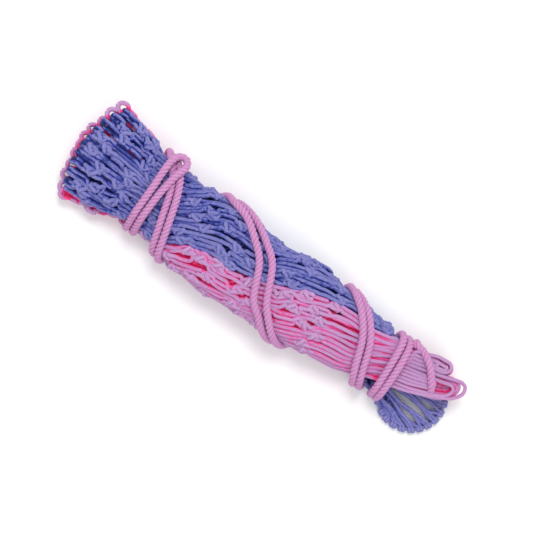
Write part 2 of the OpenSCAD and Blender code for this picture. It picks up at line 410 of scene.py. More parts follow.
# ------------------------------------------------ settling the strands against each other

SLACK = 1.035           # the strands' length, as a share of their length when laid out
PAIR_REACH = 11         # points nearer than this are tested against each other
HOME_PULL, SMOOTHING, PUSH = 0.03, 0.15, 1.4
SKIN_MARGIN = 2.8       # how far inside the bundle's surface the centre lines stay
SETTLE_ROUNDS, QUICK_ROUNDS = 90, 24


def close_pairs(x, reach):
    """Every two points nearer than reach."""
    order = np.argsort(x[:, 0], kind="stable")
    s = x[order]
    found = []
    for k in range(1, len(s)):
        d = s[k:] - s[:-k]
        if d[:, 0].min() > reach:
            break
        near = (d ** 2).sum(1) < reach ** 2
        found.append(np.stack([order[:-k][near], order[k:][near]], 1))
    return np.concatenate(found)


def spread(n, a, b, move):
    """The average of what each pair asks its two points to move by."""
    out = np.zeros((n, 3))
    for k in range(3):
        out[:, k] = np.bincount(a, move[:, k], n) - np.bincount(b, move[:, k], n)
    asked = np.bincount(a, minlength=n) + np.bincount(b, minlength=n)
    return out / np.maximum(asked, 1)[:, None]


def hold_inside(x, margin):
    """Points outside the bundle's surface, less the margin, are brought back to it."""
    mid, half, centre, up, down = section(x[:, 0])
    dy, dz = x[:, 1] - mid, x[:, 2] - centre
    half = half - margin
    height = np.maximum(np.where(dz > 0, up, np.maximum(down, 8)) - margin, 1)
    f = (np.abs(dy / half) ** 2.5 + np.abs(dz / height) ** 2.5) ** 0.4
    scale = 1 / np.maximum(f, 1)
    x[:, 1] = mid + dy * scale
    x[:, 2] = np.maximum(centre + dz * scale, margin)
    return x


def settle(home, radius, fixed, chains, rounds):
    """Overlapping strands push each other apart, and nearly keep their lengths and their places."""
    n = len(home)
    x = home.copy()
    free = (~fixed)[:, None]
    edges = np.concatenate([np.stack([c[:-1], c[1:]], 1) for c in chains])
    skips = np.concatenate([np.stack([c[:-2], c[2:]], 1) for c in chains if len(c) > 2])
    rest = SLACK * np.linalg.norm(home[edges[:, 0]] - home[edges[:, 1]], axis=1)
    known = np.sort(np.concatenate([edges, skips]), 1)
    known = known[:, 0] * n + known[:, 1]
    triples = np.concatenate([np.stack([c[:-2], c[1:-1], c[2:]], 1) for c in chains if len(c) > 2])
    for i in range(rounds):
        if i % 8 == 0:
            pairs = np.sort(close_pairs(x, PAIR_REACH), 1)
            pairs = pairs[~np.isin(pairs[:, 0] * n + pairs[:, 1], known)]
            pairs = pairs[~(fixed[pairs[:, 0]] & fixed[pairs[:, 1]])]
            apart = radius[pairs[:, 0]] + radius[pairs[:, 1]]
        x = x + free * HOME_PULL * (home - x)
        a, b, c = triples.T
        mean = 0.5 * (x[a] + x[c]) - x[b]
        x[b] += SMOOTHING * mean * free[b]
        for _ in range(2):
            d = x[edges[:, 1]] - x[edges[:, 0]]
            size = np.linalg.norm(d, axis=1, keepdims=True)
            stretch = 0.5 * d * (1 - rest[:, None] / np.maximum(size, 1e-6))
            x = x + free * spread(n, edges[:, 0], edges[:, 1], stretch)
            d = x[pairs[:, 0]] - x[pairs[:, 1]]
            size = np.linalg.norm(d, axis=1)
            touch = size < apart
            d, size, gap = d[touch], size[touch, None], apart[touch, None]
            p = pairs[touch]
            push = 0.5 * d * (gap / np.maximum(size, 1e-6) - 1)
            x = x + free * PUSH * spread(n, p[:, 0], p[:, 1], push)
        inside = hold_inside(x.copy(), SKIN_MARGIN)
        x = np.where(free, inside, x)
    return x


# ------------------------------------------------ laying out knots and legs

BLUE_ROWS = [-219, -176, -134, -92, -50, -8, 34, 76, 116, 147]
PINK_ROWS = [-217, -175, -133, -91, -49, -7, 35, 77]
KNOT_R = 5.0
FAN_STEP = 3.2          # how much deeper every second column lies at the first row
NECK_X, MOUTH_X = 171.0, 187.0
BLUE_EASING_X, PINK_EASING_X = 145.0, 120.0     # where the last legs start to draw towards their slots
# [x, how far out] of the legs that hang loose at each net's edge
LOOSE_BLUE = [(60.0, 5.5)]
LOOSE_PINK = [(-197.0, -6.5), (-155.0, -5.0)]
MOUTH_STEPS, NECK_STEPS, RIM_STEPS = 14, 3, 4


class Strands:
    """The points that the settling works on: knots and legs, which move, and pinned ends and the cord."""

    def __init__(self):
        self.home, self.radius, self.fixed, self.chains, self.count = [], [], [], [], 0

    def add(self, points, radius, fixed=False):
        points = np.asarray(points, float).reshape(-1, 3)
        index = np.arange(self.count, self.count + len(points))
        self.home.append(points)
        self.radius.append(np.full(len(points), float(radius)))
        self.fixed.append(np.full(len(points), fixed))
        self.count += len(points)
        return index

    def settled(self, rounds):
        home, radius, fixed = (np.concatenate(v) for v in (self.home, self.radius, self.fixed))
        return settle(home, radius, fixed, self.chains, rounds)


def smooth(f):
    return f * f * (3 - 2 * f)


def new_net(side):
    return {"side": side, "knots": [], "column": [], "out": {}, "in": {}, "legs": [], "rims": [], "tails": []}


def lay_knots(strands, net, rows):
    net["ell"] = []
    for j, row in enumerate(rows):
        c = np.arange(COLUMNS) + 0.25 + 0.5 * (j % 2)
        share, depth = at_column(c)
        wave = 6 * np.sin(2 * math.pi * (1.7 * share + 0.31 * j + 0.2 * net["side"]))
        stagger = 6.5 * (1 - 2 * (np.arange(COLUMNS) % 2))
        ell = row + wave + stagger + RNG.uniform(-4, 4, COLUMNS)
        share = np.clip(share + RNG.normal(0, 0.006, COLUMNS), 0, 1)
        if j == 0:
            depth = depth + FAN_STEP * (np.arange(COLUMNS) % 2)
        net["knots"].append(strands.add(place(ell, share, depth, net["side"]), KNOT_R))
        net["ell"].append(ell)
        net["column"].append(c)


def lay_legs(strands, net):
    for j in range(len(net["knots"]) - 1):
        for step in (0, -1 if j % 2 == 0 else 1):
            i = np.arange(COLUMNS)
            k = (i + step) % COLUMNS
            f = (np.arange(LEG_STEPS) + 1)[None] / (LEG_STEPS + 1)
            start = net["column"][j][:, None]
            across = 0.5 if (j % 2 == 0) == (step == 0) else -0.5
            late = 0.7 if j == 0 else RNG.uniform(0, 0.5, (COLUMNS, 1)) + (0.25 if j == 1 else 0)
            beside = 0.14 if j == 0 else 0.2
            parted = smooth(np.clip((f - late) / (1 - late), 0, 1))
            c = start + across * (2 * beside + (1 - 4 * beside) * parted) + RNG.normal(0, 0.03, (COLUMNS, 1))
            share, depth = at_column(c)
            ell = net["ell"][j][:, None] * (1 - f) + net["ell"][j + 1][k][:, None] * f
            depth = np.maximum(depth + RNG.normal(0, 0.6, (COLUMNS, 1)), 2.2)
            if j == 0:
                depth = depth + FAN_STEP * (i % 2)[:, None]
            points = place(ell, np.clip(share, 0, 1), depth, net["side"])
            for n in i:
                index = strands.add(points[n], TWINE_D / 2)
                a, b = net["knots"][j][n], net["knots"][j + 1][k[n]]
                strands.chains.append(np.concatenate([[a], index, [b]]))
                net["out"].setdefault(a, []).append(index[0])
                net["in"].setdefault(b, []).append(index[-1])
                net["legs"].append((a, b, index, layer_of(n)))


def layer_of(column):
    return "outer" if column < OUTER else "inner"


def lay_rims(strands, net):
    """The legs past the first row turn back at the fold's rim, each knot's two as one loop."""
    pink = net["side"] == PINK
    for n, (knot, ell, c) in enumerate(zip(net["knots"][0], net["ell"][0], net["column"][0])):
        share, depth = (float(v) for v in at_column(c))
        outer = layer_of(n) == "outer"
        half_gap = RNG.uniform(4.4, 6.0) if pink and outer else 2.5
        rim_ell = (-247.5 if pink else -244.0) if outer else -238.0 + RNG.uniform(-4, 4)
        reach = RNG.uniform(5.5, 9) if pink and outer else RNG.uniform(1, 4)
        start = place(ell, share, depth, net["side"])
        rim = place(rim_ell, share, depth, net["side"])
        along = unit(rim - start)
        across = unit(np.cross([0, 0, 1.0], along))
        if pink:
            rim[2] = np.clip(rim[2], 6, 20)
        if pink and outer and 34 < rim[1] < 58:     # the loops that stand up at the rim's corner
            rim[2] = 27
            reach += 1.5
        for sign in (-1, 1):
            f = (np.arange(RIM_STEPS) + 1)[:, None] / (RIM_STEPS + 1)
            points = start + (rim - start) * f + sign * across * (2.2 + (half_gap - 2.2) * smooth(f))
            index = strands.add(points, TWINE_D / 2)
            end = strands.add(rim + sign * half_gap * across, TWINE_D / 2, fixed=True)
            strands.chains.append(np.concatenate([[knot], index, end]))
            net["in"].setdefault(knot, []).append(index[0])
            drop = 1.0 if pink else 8.0
            corner = rim + 0.7 * reach * along + sign * 0.75 * half_gap * across - [0, 0, 0.35 * drop]
            apex = rim + reach * along - [0, 0, drop]
            net["rims"].append((knot, np.concatenate([index, end]), np.array([corner, apex]), layer_of(n)))


def matched(points, slots, group):
    """Gives each point a slot so that neighbours stay neighbours: in groups across, then by height."""
    out = np.zeros(len(points), int)
    p, s = np.argsort(points[:, 1], kind="stable"), np.argsort(slots[:, 1], kind="stable")
    for k in range(0, len(p), group):
        a, b = p[k:k + group], s[k:k + group]
        out[a[np.argsort(points[a, 2], kind="stable")]] = b[np.argsort(slots[b, 2], kind="stable")]
    return out


def lay_tails(strands, net, slots, slot_x, steps, easing):
    """The legs past the last row run on to pinned slots, where the mouth loops or the base web begin."""
    last = len(net["knots"]) - 1
    starts = [(n, sign) for n in range(COLUMNS) for sign in (-1, 1)]
    n, sign = np.array(starts).T
    c = net["column"][last][n] + 0.25 * sign
    share, depth = at_column(c)
    ends = place(np.full(len(c), slot_x - 18.0), np.clip(share, 0, 1), depth, net["side"])
    slot = matched(ends, slots, 8)
    f = (np.arange(steps) + 1)[None] / (steps + 1)
    ell = net["ell"][last][n][:, None] * (1 - f) + slot_x * f
    c = net["column"][last][n][:, None] + sign[:, None] * (0.1 + 0.15 * smooth(f))
    c = c + RNG.normal(0, 0.3, (len(n), 1)) * smooth(f)
    sway = f * RNG.uniform(0.5, 1.3, (len(n), 1)) + RNG.random((len(n), 1))
    c = c + 0.35 * np.sin(2 * math.pi * sway) * np.sin(math.pi * f)
    share, depth = at_column(c)
    depth = np.maximum(depth + RNG.normal(0, 1.6, (len(n), 1)), 2.4)
    points = place(ell, np.clip(share, 0, 1), depth, net["side"])
    w = smooth(np.clip((ell - easing) / (slot_x - easing), 0, 1))[..., None]
    aim = np.broadcast_to(slots[slot][:, None], points.shape).copy()
    aim[..., 0] = points[..., 0]
    points = points * (1 - w) + aim * w
    for k in range(len(c)):
        knot = net["knots"][last][n[k]]
        index = strands.add(points[k], TWINE_D / 2)
        end = strands.add(slots[slot[k]], TWINE_D / 2, fixed=True)
        strands.chains.append(np.concatenate([[knot], index, end]))
        net["out"].setdefault(knot, []).append(index[0])
        net["tails"].append((knot, np.concatenate([index, end]), slot[k], layer_of(n[k])))


# ------------------------------------------------ the mouth loops and the base web

LOOP_PITCH = 4.3
LOOP_LEVELS = 5
WEB_LEVELS = 4
WEB_PITCH = 3.6
WEB_MIDDLE = -12.0
HITCHES = COLUMNS
WRAP_R = 3.4
WRAP_TWINE_R, WRAP_FLATNESS = 2.1, 0.55


def loop_halves():
    """Half of each mouth loop, from its slot at the neck to its tip: nested in plan, stacked in height."""
    halves = []
    for lobe, nests, back in ((UPPER_LOBE, (4, 3, 2), (0, 2, 6)), (LOWER_LOBE, (4, 4, 3, 3), (0, 2, 17, 17))):
        for nest, level in [(n, LOOP_LEVELS - 1 - k) for n, count in enumerate(nests) for k in range(count)]:
            shift, lift = RNG.uniform(-1.2, 1.2), RNG.uniform(-0.9, 0.9)
            reach = RNG.uniform(-3, 1) - back[nest]
            if nest > 1 and level == 2 and lobe is LOWER_LOBE:      # these fill the lobe's middle
                reach += 15
            if lobe is LOWER_LOBE and nest == 0:
                reach = 2.5 if level == LOOP_LEVELS - 1 else reach - 4
            tip = lobe[-1][0] + reach - LOOP_PITCH * nest * 1.1
            for sign in (-1, 1):
                halves.append(loop_half(lobe, nest, level, sign, tip, shift, lift))
    return np.array(halves)


def loop_half(lobe, nest, level, sign, tip, shift, lift):
    def gap(x):
        return max(lookup(x, lobe, 2) - TWINE_D / 2 - LOOP_PITCH * nest, 2.1)

    end = gap(tip)
    xs = list(np.linspace(MOUTH_X, tip - end, 7))
    ys = [sign * gap(x) for x in xs]
    for turn in np.radians((25, 50, 75, 90)):
        xs.append(tip - end + end * math.sin(turn))
        ys.append(sign * end * math.cos(turn))
    low, high = lookup(xs, lobe, 3), lookup(xs, lobe, 4)
    z = low + (high - low) * (level + 0.5) / LOOP_LEVELS + lift
    xs = np.array(xs)
    sway = shift * (xs - MOUTH_X) / 30
    return np.stack([xs, lookup(xs, lobe, 1) + np.array(ys) + sway, z], -1)


def web_slots():
    k = np.arange(2 * HITCHES)
    across, level = k // WEB_LEVELS, k % WEB_LEVELS
    y = WEB_MIDDLE + WEB_PITCH * (across - across.max() / 2)
    return np.stack([NECK_X + 0 * y, y, 2.8 + 3.8 * level], -1)


def ring_frame(angle):
    """The ring's centreline point, and its direction away from the centre and around it."""
    out = np.stack([np.cos(angle), np.sin(angle), 0 * angle], -1)
    around = np.stack([-np.sin(angle), np.cos(angle), 0 * angle], -1)
    centre = np.array([RING_CENTRE[0], RING_CENTRE[1], RING_Z])
    return centre + RING_R * out, out, around


def web_ends(slots):
    """Each slot's strand across the web to its hitch, and the hitch's wrap round the ring."""
    angle = np.repeat(np.arange(HITCHES) * 2 * math.pi / HITCHES + 0.1, 2)
    angle = angle + np.tile([-1, 1], HITCHES) * 1.8 / RING_R + np.repeat(RNG.normal(0, 0.03, HITCHES), 2)
    at, out, around = ring_frame(angle)
    goal = matched(slots, at * [1, 1, 0] + [0, 0, 1] * at[:, :1] / 10, 4)
    at, out, around = at[goal], out[goal], around[goal]
    turn = np.radians(np.linspace(140, -215, 16))[None, :, None]
    up = np.array([0, 0, 1.0])
    normal = np.cos(turn) * out[:, None] + np.sin(turn) * up
    slip = np.linspace(0, 1.4, 16)[None, :, None] * around[:, None]
    wraps = at[:, None] + WRAP_R * normal + slip
    f = np.linspace(0, 1, 7)[1:, None]
    lines = slots[:, None] + (wraps[:, :1] - slots[:, None]) * f
    first = goal % 2 == 0
    pair = np.argsort(goal, kind="stable").reshape(-1, 2)
    middle = np.empty_like(lines)
    middle[pair] = lines[pair].mean(1)[:, None]
    far = np.argsort(np.where(at[:, 0] > RING_CENTRE[0] - 12, at[:, 1], 999), kind="stable")
    bunch = np.empty(len(far), int)
    bunch[far] = np.arange(len(far)) // 3
    drawn = np.array([middle[bunch == b, :, 1].mean(0) for b in bunch])
    together = 0.86 * np.sin(math.pi * f[:, 0]) ** 0.6
    middle[..., 1] += together * (drawn - middle[..., 1])
    wave = np.sin(2 * math.pi * (1.4 * f[:, 0] + 0.37 * bunch[:, None]))
    middle[..., 1] += 1.5 * wave * np.sin(math.pi * f[:, 0])
    across = np.where(first, -1, 1)[:, None] * np.array([0.6, 0.7, 0.8, 1.0, 1.4, 1.9])
    height = middle[..., 2] + 2.4 * across * (1 - f[:, 0])
    lines = np.stack([middle[..., 0], middle[..., 1] + across, height], -1)
    lines[:, :, 1] += RNG.normal(0, 1.9, HITCHES)[goal // 2][:, None] * np.sin(math.pi * f[:, 0])
    lines[:, -1] = wraps[:, 0]
    return lines, wraps, normal


# ------------------------------------------------ knots

# The sheet bend's bight and hitch, from a leg to the knot's middle: along the strands, across and outwards
BIGHT = [(-8, 2.4, 0), (-4, 2.8, 0.2), (0.5, 3, 0.4), (3.2, 2.1, 0.6), (4.4, 0, 0.8), (4.2, -0.8, 0.8)]
HITCH_OVER = [(9, 2.3, 0), (5.5, 1.9, 1.2), (2, 1.4, 1), (-0.6, 1.2, -1.2), (-2.6, 2.4, -2.2),
              (-4.6, 3.7, -1.2), (-5.2, 3.5, 0.8), (-4.2, 1.7, 2.2), (-2.6, 0, 2.5), (-2.2, -0.5, 2.5)]
HITCH_UNDER = [(9, -2.3, -0.3), (4.5, -2.5, -1.4), (1.6, -3, -2), (0.4, -3.7, -1), (0.2, -3.6, 0.8),
               (-0.9, -1.8, 2.2), (-2.6, 0, 2.5), (-3.0, 0.5, 2.5)]
END_POINTS = 9


def end_template(points, mirror=1):
    line = catmull(np.array(points, float) * [1, mirror, 1], 8)
    return resample(line, END_POINTS)


def turned_by(a, b, angle):
    """Both of two square directions, turned by an angle in their own plane."""
    cos, sin = math.cos(angle), math.sin(angle)
    return unit(a * cos + b * sin), unit(b * cos - a * sin)


def knot_ends(x, net):
    """For each knot and each of its four legs, the leg's end as drawn, from the leg to the knot's middle."""
    hitch = [end_template(HITCH_OVER), end_template(HITCH_UNDER)]
    bight = [end_template(BIGHT), end_template(BIGHT, -1)]
    ends = {}
    for knot in np.concatenate(net["knots"]):
        out, back = net["out"][knot], net["in"][knot]
        e1 = unit(x[out].mean(0) - x[back].mean(0))
        e3 = outward(x[knot][None])[0]
        e3 = unit(e3 - e3 @ e1 * e1)
        e2 = np.cross(e3, e1)
        swing, roll = RNG.normal(0, 0.2), RNG.normal(0, 0.25)
        e1, e2 = turned_by(e1, e2, swing)
        e2, e3 = turned_by(e2, e3, roll)
        turned = RNG.random() < 0.4
        scale = twine_radius(x[knot][0]) / (TWINE_D / 2)
        mirror = -net["side"]
        for legs, ahead in ((out, True), (back, False)):
            side = np.array([(x[p] - x[knot]) @ e2 for p in legs])
            for p, high in zip(legs, side == side.max()):
                positive = high
                if ahead != turned:
                    t = hitch[0 if positive == (mirror > 0) else 1] * [1, mirror, 1]
                else:
                    t = bight[0 if positive else 1]
                if turned:
                    t = t * [-1, 1, 1]
                ends[knot, p] = x[knot] + scale * (t @ np.array([e1, e2, e3]))
    return ends


def loosen(x, net, where, bulge):
    """The leg that is furthest out at one edge near a place hangs loose there."""
    near = [index for _, _, index, _ in net["legs"] if abs(x[index, 0].mean() - where) < 9]
    index = max(near, key=lambda i: math.copysign(1, bulge) * x[i, 1].mean())
    x[index, 1] += bulge * np.sin(math.pi * np.linspace(0.12, 0.88, len(index)))


def drawn_lines(x, net, extras):
    """Every leg as one line, from the middle of one knot to the middle of the next."""
    ends = knot_ends(x, net)
    groups = {}
    for a, b, index, layer in net["legs"]:
        line = np.concatenate([ends[a, index[0]][::-1], x[index[1:-1]], ends[b, index[-1]]])
        groups.setdefault((layer, "left" if x[index[2], 0] < SPLIT_X else "right"), []).append(line)
    rims, tails = {}, {}
    for knot, index, beyond, layer in net["rims"]:
        line = np.concatenate([ends[knot, index[0]][::-1], x[index[1:]], beyond])
        rims.setdefault(layer, []).append(line)
    for knot, index, slot, layer in net["tails"]:
        line = np.concatenate([ends[knot, index[0]][::-1], x[index[1:]], extras[slot]])
        tails.setdefault(layer, []).append(line)
    return groups, rims, tails


SPLIT_X = -20.0         # legs left of this go to the folded end's piece
LINE_STEPS = 3


def unrolled(p):
    """Cells along and around the bundle, and how far out of the section's middle each point is."""
    mid, half, centre, up, down = section(p[:, 0])
    mid = np.where(p[:, 0] > NECK_X, 8.0, mid)
    dy, dz = p[:, 1] - mid, p[:, 2] - centre
    angle = np.arctan2(dz / np.where(dz > 0, up, np.maximum(down, 8)), dy / half)
    i = np.clip(((p[:, 0] - CELLS_START) / CELL).astype(int), 0, CELLS_ALONG - 1)
    j = ((angle + math.pi) / (2 * math.pi) * CELLS_AROUND).astype(int) % CELLS_AROUND
    return i, j, np.hypot(dy, dz)


CELL, CELLS_ALONG, CELLS_AROUND = 2.5, 216, 88
CELLS_START = -270
PLAN_CORNER, PLAN_CELLS = [150, -90], 72


def skin_of(lines):
    """How far out the outermost strand reaches in and beside each cell."""
    points = np.concatenate([resample(line, 3 * len(line)) for line in lines])
    i, j, out = unrolled(points)
    skin = np.zeros((CELLS_ALONG, CELLS_AROUND))
    np.maximum.at(skin, (i, j), out)
    wide = skin.copy()
    for di in (-2, -1, 0, 1, 2):
        for dj in (-1, 0, 1):
            wide = np.maximum(wide, np.roll(skin, (di, dj), (0, 1)))
    return wide


def twine_radius(x):
    """The twine lies slack and full in the fold, and is pulled thin towards the mouth and the base."""
    return TWINE_D / 2 * np.interp(x, (-235, -165, 160, 182), (1.12, 1.0, 1.02, 0.87))


def twine_mesh(name, batches, sides, material):
    lines = [catmull(np.array(b), LINE_STEPS) for b in batches if len(b)]
    for line in lines:
        line[..., 2] = np.maximum(line[..., 2], TWINE_D / 2)
    normals = [carried(tangents(p), outward(p[:, 0])) for p in lines]
    return tube_mesh(name, lines, normals, twine_radius, sides, material=material), lines


def plan_cells(p):
    """Square cells over the mouth and the base ring, seen from above."""
    return np.clip(((p[:, :2] - PLAN_CORNER) / CELL).astype(int), 0, PLAN_CELLS - 1).T


def height_map(p):
    """The highest point in and beside each cell, seen from above."""
    top = np.zeros((PLAN_CELLS, PLAN_CELLS))
    i, j = plan_cells(p)
    np.maximum.at(top, (i, j), p[:, 2])
    wide = top.copy()
    for di in (-1, 0, 1):
        for dj in (-1, 0, 1):
            wide = np.maximum(wide, np.roll(top, (di, dj), (0, 1)))
    return wide


def in_web(p):
    return (p[:, 0] > NECK_X - 2) & (p[:, 2] < WEB_TOP)


def past_neck(p):
    return (p[:, 0] > MOUTH_X - 4) & (p[:, 2] >= WEB_TOP)


WEB_TOP = 14.5


def side_depth(p):
    """How far in from the sides of its mouth lobe each point is. In the web it is one value throughout."""
    inside = [lookup(p[:, 0], lobe, 2) - np.abs(p[:, 1] - lookup(p[:, 0], lobe, 1))
              for lobe in (UPPER_LOBE, LOWER_LOBE)]
    return np.where(p[:, 2] < WEB_TOP, 4.0, np.maximum(np.maximum(*inside), 0))


def mark_recess(ob, skin, maps):
    """Stores how deep each point lies between its neighbours, as the amount of painted shade, darker and more
    saturated, that the material gives it.
    """
    p = points_of(ob)
    i, j, out = unrolled(p)
    deep = skin[i, j] + TWINE_D / 2 - out
    for inside, top in zip((in_web, past_neck), maps):
        k = inside(p)
        a, b = plan_cells(p[k])
        deep[k] = np.minimum(top[a, b] + TWINE_D / 2 - p[k, 2], side_depth(p[k]))
    # The painted shade is made lighter at the mouth's loops, in the base web and past the fold's rim.
    deep[past_neck(p)] *= 0.62
    deep = np.clip((deep - 0.7) / np.interp(p[:, 0], (-185, -160), (3.9, 5.2)), 0, 1)
    deep[in_web(p)] *= 0.7
    v = p[:, 1] / FOLD_RIM_HALF
    beyond = smooth(np.clip((fold_x(1.0, np.clip(v, -1, 1)) + 2 - p[:, 0]) / 6, 0, 1))
    store_recess(ob, deep * (1 - 0.75 * beyond))


# ------------------------------------------------ materials

def shader_tree(name):
    mat = bpy.data.materials.new(name)
    mat.use_nodes = True
    tree = mat.node_tree
    return mat, tree, tree.nodes["Principled BSDF"]


def add_node(tree, kind, **inputs):
    node = tree.nodes.new(kind)
    for key, value in inputs.items():
        node.inputs[key].default_value = value
    return node


def math_node(tree, operation, a, b=None):
    node = tree.nodes.new("ShaderNodeMath")
    node.operation = operation
    for socket, value in zip(node.inputs, (a, b)):
        if isinstance(value, (int, float)):
            socket.default_value = value
        elif value is not None:
            tree.links.new(value, socket)
    return node.outputs[0]


def ramp(tree, factor, stops):
    node = tree.nodes.new("ShaderNodeValToRGB")
    tree.links.new(factor, node.inputs[0])
    elements = node.color_ramp.elements
    while len(elements) < len(stops):
        elements.new(0.5)
    for element, (at, colour) in zip(elements, stops):
        element.position = at
        element.color = (*colour, 1)
    return node.outputs[0]


def braid_height(tree, pitch, turns):
    """Small crossing ridges of a braid: u runs round the twine and v along it in millimetres."""
    uv = add_node(tree, "ShaderNodeUVMap")
    uv.uv_map = "length"
    split = add_node(tree, "ShaderNodeSeparateXYZ")
    tree.links.new(uv.outputs[0], split.inputs[0])
    u, v = split.outputs[0], split.outputs[1]
    along = math_node(tree, "MULTIPLY", v, 2 * math.pi / pitch)
    around = math_node(tree, "MULTIPLY", u, 2 * math.pi * turns)
    left = math_node(tree, "SINE", math_node(tree, "ADD", along, around))
    right = math_node(tree, "SINE", math_node(tree, "SUBTRACT", along, around))
    return math_node(tree, "MULTIPLY", left, right), u, v


def stretched_noise(tree, u, v, around, along, detail):
    """Noise drawn out along the strand, for its fibres."""
    join = add_node(tree, "ShaderNodeCombineXYZ")
    angle = math_node(tree, "MULTIPLY", u, 2 * math.pi)
    tree.links.new(math_node(tree, "MULTIPLY", math_node(tree, "COSINE", angle), around), join.inputs[0])
    tree.links.new(math_node(tree, "MULTIPLY", math_node(tree, "SINE", angle), around), join.inputs[1])
    tree.links.new(math_node(tree, "MULTIPLY", v, along), join.inputs[2])
    noise = add_node(tree, "ShaderNodeTexNoise", Scale=1.0, Detail=detail, Roughness=0.6)
    tree.links.new(join.outputs[0], noise.inputs["Vector"])
    return noise.outputs[0]


def varied(tree, tone, noise, amount):
    """The tone with noise added to it, evenly either way."""
    centred = math_node(tree, "SUBTRACT", noise, 0.5)
    return math_node(tree, "ADD", tone, math_node(tree, "MULTIPLY", centred, amount))


def stored_recess(tree):
    node = add_node(tree, "ShaderNodeAttribute")
    node.attribute_name = "recess"
    return node.outputs["Fac"]


def give_surface(tree, shader, tint, finish, height, bump):
    """finish is roughness, sheen and sheen roughness; bump is strength and distance in metres."""
    for key, value in zip(("Roughness", "Sheen Weight", "Sheen Roughness"), finish):
        shader.inputs[key].default_value = value
    shader.inputs["Sheen Tint"].default_value = (*tint, 1)
    shader.inputs["Specular IOR Level"].default_value = 0.25
    node = add_node(tree, "ShaderNodeBump", Strength=bump[0], Distance=bump[1])
    tree.links.new(height, node.inputs["Height"])
    tree.links.new(node.outputs[0], shader.inputs["Normal"])


def twine_material(name, bright, plain, shade, deep, painted_glow):
    """Braided synthetic twine, painted lighter where it faces out, with painted shade, darker and more
    saturated, deep between the strands, and a painted glow there.
    """
    mat, tree, shader = shader_tree(name)
    braid, u, v = braid_height(tree, 3.4, 2)
    fibres = stretched_noise(tree, u, v, 2.4, 0.28, 3.0)
    patches = stretched_noise(tree, u, v, 0.6, 0.03, 2.0)
    recess = stored_recess(tree)
    tone = varied(tree, recess, fibres, 1.5)
    tone = varied(tree, tone, patches, 0.5)
    # Painted shade and highlight: the braid's troughs are coloured darker and its crests lighter, from the
    # same height that drives the bump.
    tone = math_node(tree, "SUBTRACT", tone, math_node(tree, "MULTIPLY", braid, 0.14))
    # The ramp paints highlight and shade by depth: bright at the outer surface, then plain, then painted
    # shade and painted deep shade between the strands.
    colour = ramp(tree, tone, [(0.0, bright), (0.22, plain), (0.55, shade), (0.95, deep)])
    tree.links.new(colour, shader.inputs["Base Color"])
    # Painted glow: the ramp's colour is also emitted, stronger the deeper the point lies between the strands.
    tree.links.new(colour, shader.inputs["Emission Color"])
    painted_glow_strength = math_node(tree, "MULTIPLY", recess, painted_glow)
    tree.links.new(painted_glow_strength, shader.inputs["Emission Strength"])
    height = math_node(tree, "ADD", math_node(tree, "MULTIPLY", braid, 0.6), fibres)
    give_surface(tree, shader, bright, (0.62, 0.18, 0.5), height, (0.9, 0.0006))
    return mat


def cord_material(name, bright, plain, shade):
    """One strand of laid cord: fine fibres that run slightly across the strand, with painted shade, deeper
    and more saturated, in the grooves.
    """
    mat, tree, shader = shader_tree(name)
    _, u, v = braid_height(tree, 3.0, 2)
    slanted = math_node(tree, "ADD", u, math_node(tree, "MULTIPLY", v, -0.09))
    fibres = stretched_noise(tree, slanted, v, 4.0, 0.10, 3.0)
    patches = stretched_noise(tree, u, v, 0.5, 0.05, 2.0)
    tone = varied(tree, stored_recess(tree), fibres, 0.7)
    tone = varied(tree, tone, patches, 0.3)
    # The ramp paints shade into the grooves: bright on the strands' crests, then plain, then the shade colour
    # deepest in.
    colour = ramp(tree, tone, [(0.0, bright), (0.25, plain), (0.8, shade)])
    tree.links.new(colour, shader.inputs["Base Color"])
    give_surface(tree, shader, bright, (0.55, 0.15, 0.45), fibres, (0.7, 0.0004))
    return mat


def floor_material():
    mat, tree, shader = shader_tree("pale_floor")
    noise = add_node(tree, "ShaderNodeTexNoise", Scale=40.0, Detail=4.0)
    colour = ramp(tree, noise.outputs[0], [(0.3, (0.92, 0.92, 0.92)), (0.7, (0.94, 0.94, 0.94))])
    tree.links.new(colour, shader.inputs["Base Color"])
    shader.inputs["Roughness"].default_value = 0.9
    return mat


# ------------------------------------------------ floor and light

FLOOR_DROP = 0.0004     # metres, so that the floor lies just clear of the lowest strands


def make_floor():
    size = 3.0
    verts = np.array([(-size, -size, 0), (size, -size, 0), (size, size, 0), (-size, size, 0)]) / MM
    corners = np.array([(0, 0), (1, 0), (1, 1), (0, 1)], float)
    floor = mesh_object("floor", verts, np.array([[0, 1, 2, 3]]), corners, floor_material())
    floor.location.z = -FLOOR_DROP


def soft_light(name, place_at, size, power):
    data = bpy.data.lights.new(name, "AREA")
    data.shape = "DISK"
    data.size = size
    data.energy = power
    lamp = bpy.data.objects.new(name, data)
    lamp.location = place_at
    aim = -np.array(place_at)
    tilt = math.atan2(math.hypot(aim[0], aim[1]), -aim[2])
    lamp.rotation_euler = (tilt, 0, math.atan2(aim[1], aim[0]) - math.pi / 2)
    bpy.context.collection.objects.link(lamp)


def make_light():
    world = bpy.data.worlds.new("soft_room")
    world.use_nodes = True
    world.node_tree.nodes["Background"].inputs[0].default_value = (1, 1, 1, 1)
    world.node_tree.nodes["Background"].inputs[1].default_value = 0.78
    bpy.context.scene.world = world
    soft_light("key_light", (-0.4, 0.9, 2.0), 1.0, 22)
    soft_light("fill_light", (1.2, -0.8, 1.8), 1.4, 9)
    bpy.context.scene.view_settings.view_transform = "Standard"


# ------------------------------------------------ the pieces

def bend_between(ob, a, b, start_x, end_x):
    """Bakes the piece's transform into its mesh. a, b, start_x and end_x are not used."""
    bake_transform(ob)


FOLD_BEND = (-162, -186)
MOUTH_BEND = (181, 203)
BASE_BEND = (158, 180)


